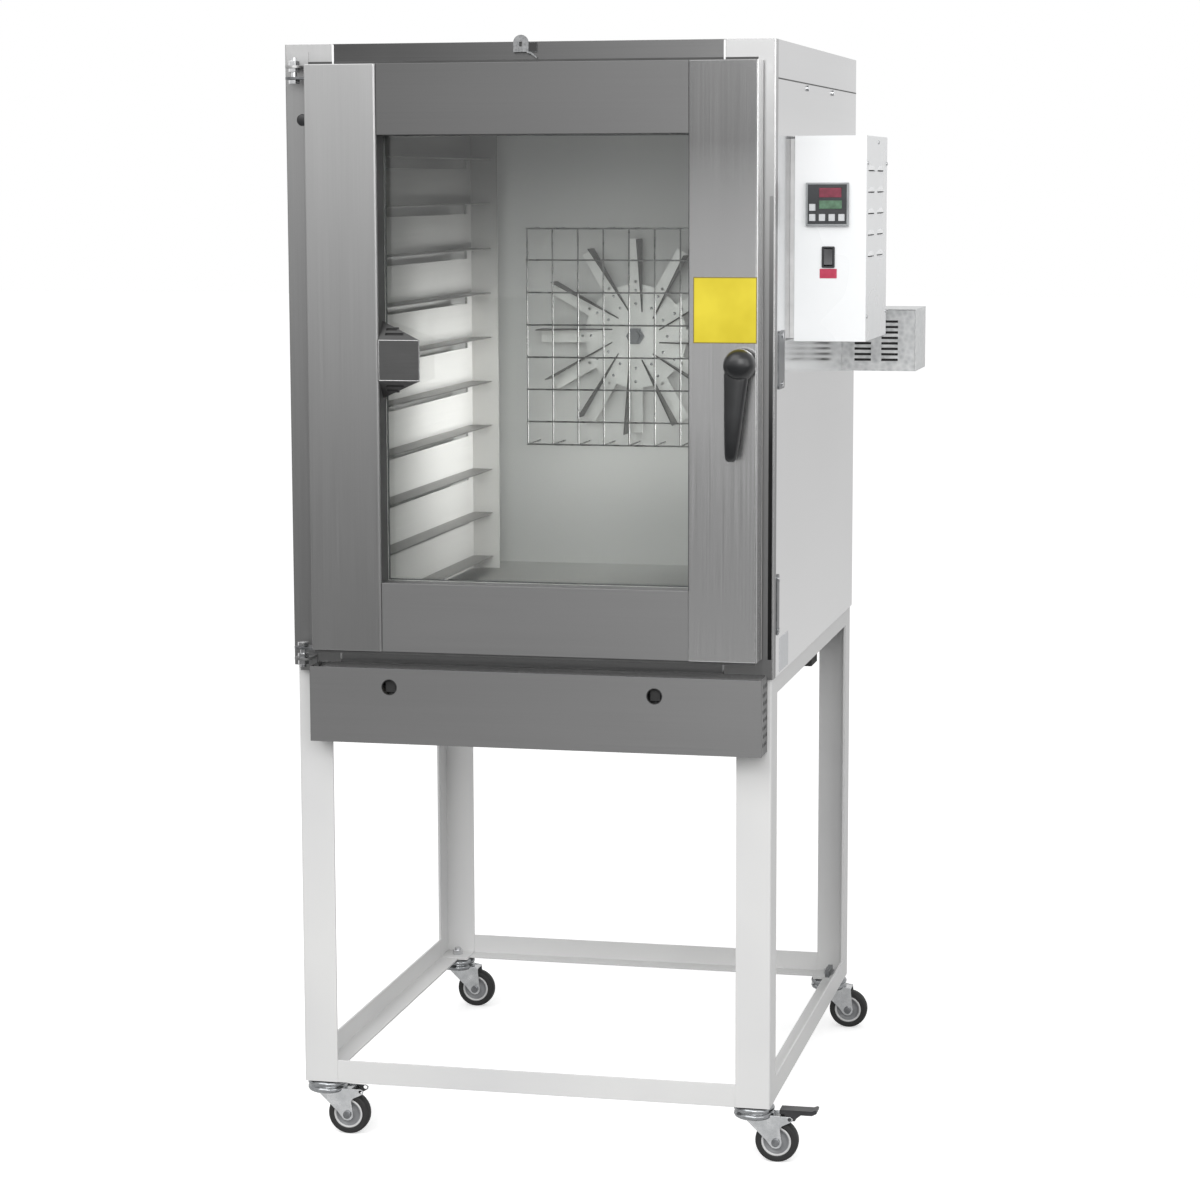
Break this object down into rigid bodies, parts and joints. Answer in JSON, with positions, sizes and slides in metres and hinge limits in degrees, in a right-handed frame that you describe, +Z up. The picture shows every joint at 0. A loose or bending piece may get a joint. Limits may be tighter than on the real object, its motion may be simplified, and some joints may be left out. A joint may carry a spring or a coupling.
{
  "type": "convection oven",
  "caption": "Free-standing convection oven with a glazed side-hinged door, lever latch, tray rails, rear fan, side control and vent boxes, on an open angle-steel stand with castors.",
  "frame": {"origin": "middle of the outer box, on the floor under the castor wheels", "axes": "+Z up, +Y from the door to the back, +X to the right as seen from the front"},
  "size_m": [0.981, 1.224, 1.916],
  "materials": {
    "white_paint": "satin powder coat",
    "brushed_front": "brushed stainless sheet",
    "polished_skin": "polished stainless sheet",
    "chamber_steel": "plain stainless sheet",
    "zinc_sheet": "galvanised sheet",
    "zinc_plate": "zinc plated",
    "wire_steel": "bright drawn wire",
    "wool": "mineral wool slab",
    "motor_paint": "grey machine paint",
    "burner_steel": "plain steel tube",
    "gas_pipe": "painted steel pipe",
    "hub_plastic": "moulded",
    "tread_rubber": "moulded",
    "black_plastic": "moulded",
    "meter_plastic": "moulded",
    "key_white": "moulded",
    "window_glass": "clear toughened",
    "bulb_glass": "clear",
    "gasket_rubber": "moulded",
    "lamp_ceramic": "glazed"
  },
  "bodies": {
    "cabinet": {"stand_legs": "white_paint", "stand_rails": "white_paint", "castor_plates": "white_paint", "front_stiles": "brushed_front", "front_rails": "brushed_front", "burner_panel": "brushed_front", "side_panel_left": "polished_skin", "side_panel_right": "polished_skin", "back_panel": "polished_skin", "top_cover": "polished_skin", "base_plate": "zinc_sheet", "chamber_liner": "chamber_steel", "baffles": "chamber_steel", "tray_rails": "chamber_steel", "insulation": "wool", "fan_guard": "wire_steel", "motor": "motor_paint", "burners": "burner_steel", "gas_manifold": "gas_pipe", "vent_box": "zinc_sheet", "control_box": "white_paint", "controller": "meter_plastic", "switch_frame": "black_plastic", "hinge_frame_plates": "zinc_plate", "top_bracket": "zinc_sheet", "strike_plates": "zinc_plate", "fasteners": "zinc_plate"},
    "door": {"door_stile_left": "brushed_front", "door_stile_right": "brushed_front", "door_rails": "brushed_front", "door_liner": "chamber_steel", "door_glass": "window_glass", "door_gasket": "gasket_rubber", "hinge_door_plates": "zinc_plate", "lamp_housing": "brushed_front", "lamp_holder": "lamp_ceramic", "lamp_bulb": "bulb_glass"},
    "handle": {"handle": "black_plastic", "latch_spindle": "zinc_plate"},
    "fan": {"fan_wheel": "chamber_steel", "fan_shaft": "zinc_plate"},
    "rocker": {"rocker": "black_plastic"},
    "castor_front_left": {"castor_fork_front_left": "zinc_plate"},
    "wheel_front_left": {"castor_wheel_front_left": "hub_plastic", "castor_tyre_front_left": "tread_rubber"},
    "castor_front_right": {"castor_fork_front_right": "zinc_plate"},
    "wheel_front_right": {"castor_wheel_front_right": "hub_plastic", "castor_tyre_front_right": "tread_rubber"},
    "castor_rear_left": {"castor_fork_rear_left": "zinc_plate"},
    "wheel_rear_left": {"castor_wheel_rear_left": "hub_plastic", "castor_tyre_rear_left": "tread_rubber"},
    "castor_rear_right": {"castor_fork_rear_right": "zinc_plate"},
    "wheel_rear_right": {"castor_wheel_rear_right": "hub_plastic", "castor_tyre_rear_right": "tread_rubber"},
    "brake_front_right": {"brake_pedal_front_right": "black_plastic"},
    "key_1": {"key_1": "key_white"},
    "key_2": {"key_2": "key_white"},
    "key_3": {"key_3": "key_white"},
    "key_4": {"key_4": "key_white"},
    "key_5": {"key_5": "key_white"}
  },
  "joints": [
    {"name": "door_swing", "type": "hinge", "parent": "cabinet", "child": "door", "pos_m": [-0.4635, -0.541, 1.376], "axis": [0, 0, -1], "range_deg": [0, 120]},
    {"name": "handle_turn", "type": "hinge", "parent": "door", "child": "handle", "pos_m": [0.3045, -0.565, 1.377], "axis": [0, 1, 0], "range_deg": [0, 90]},
    {"name": "fan_spin", "type": "hinge", "parent": "cabinet", "child": "fan", "pos_m": [-0.0545, 0.293, 1.379], "axis": [0, 1, 0], "continuous": true},
    {"name": "rocker_tilt", "type": "hinge", "parent": "cabinet", "child": "rocker", "pos_m": [0.4155, -0.35, 1.547], "axis": [1, 0, 0], "range_deg": [-6, 6]},
    {"name": "castor_swivel_front_left", "type": "hinge", "parent": "cabinet", "child": "castor_front_left", "pos_m": [-0.4545, -0.466, 0.09], "axis": [0, 0, 1], "continuous": true},
    {"name": "wheel_spin_front_left", "type": "hinge", "parent": "castor_front_left", "child": "wheel_front_left", "pos_m": [-0.4145, -0.466, 0.0375], "axis": [0, 1, 0], "continuous": true},
    {"name": "castor_swivel_front_right", "type": "hinge", "parent": "cabinet", "child": "castor_front_right", "pos_m": [0.3135, -0.466, 0.09], "axis": [0, 0, 1], "continuous": true},
    {"name": "wheel_spin_front_right", "type": "hinge", "parent": "castor_front_right", "child": "wheel_front_right", "pos_m": [0.3535, -0.466, 0.0375], "axis": [0, 1, 0], "continuous": true},
    {"name": "castor_swivel_rear_left", "type": "hinge", "parent": "cabinet", "child": "castor_rear_left", "pos_m": [-0.4545, 0.41, 0.09], "axis": [0, 0, 1], "continuous": true},
    {"name": "wheel_spin_rear_left", "type": "hinge", "parent": "castor_rear_left", "child": "wheel_rear_left", "pos_m": [-0.4145, 0.41, 0.0375], "axis": [0, 1, 0], "continuous": true},
    {"name": "castor_swivel_rear_right", "type": "hinge", "parent": "cabinet", "child": "castor_rear_right", "pos_m": [0.3135, 0.41, 0.09], "axis": [0, 0, 1], "continuous": true},
    {"name": "wheel_spin_rear_right", "type": "hinge", "parent": "castor_rear_right", "child": "wheel_rear_right", "pos_m": [0.3535, 0.41, 0.0375], "axis": [0, 1, 0], "continuous": true},
    {"name": "brake_press_front_right", "type": "hinge", "parent": "castor_front_right", "child": "brake_front_right", "pos_m": [0.3775, -0.466, 0.0795], "axis": [0, 1, 0], "range_deg": [0, 10]},
    {"name": "key_press_1", "type": "slide", "parent": "cabinet", "child": "key_1", "axis": [0, 1, 0], "range_m": [0, 0.0008], "stiffness_N_per_m": 800},
    {"name": "key_press_2", "type": "slide", "parent": "cabinet", "child": "key_2", "axis": [0, 1, 0], "range_m": [0, 0.0008], "stiffness_N_per_m": 800},
    {"name": "key_press_3", "type": "slide", "parent": "cabinet", "child": "key_3", "axis": [0, 1, 0], "range_m": [0, 0.0008], "stiffness_N_per_m": 800},
    {"name": "key_press_4", "type": "slide", "parent": "cabinet", "child": "key_4", "axis": [0, 1, 0], "range_m": [0, 0.0008], "stiffness_N_per_m": 800},
    {"name": "key_press_5", "type": "slide", "parent": "cabinet", "child": "key_5", "axis": [0, 1, 0], "range_m": [0, 0.0008], "stiffness_N_per_m": 800}
  ]
}
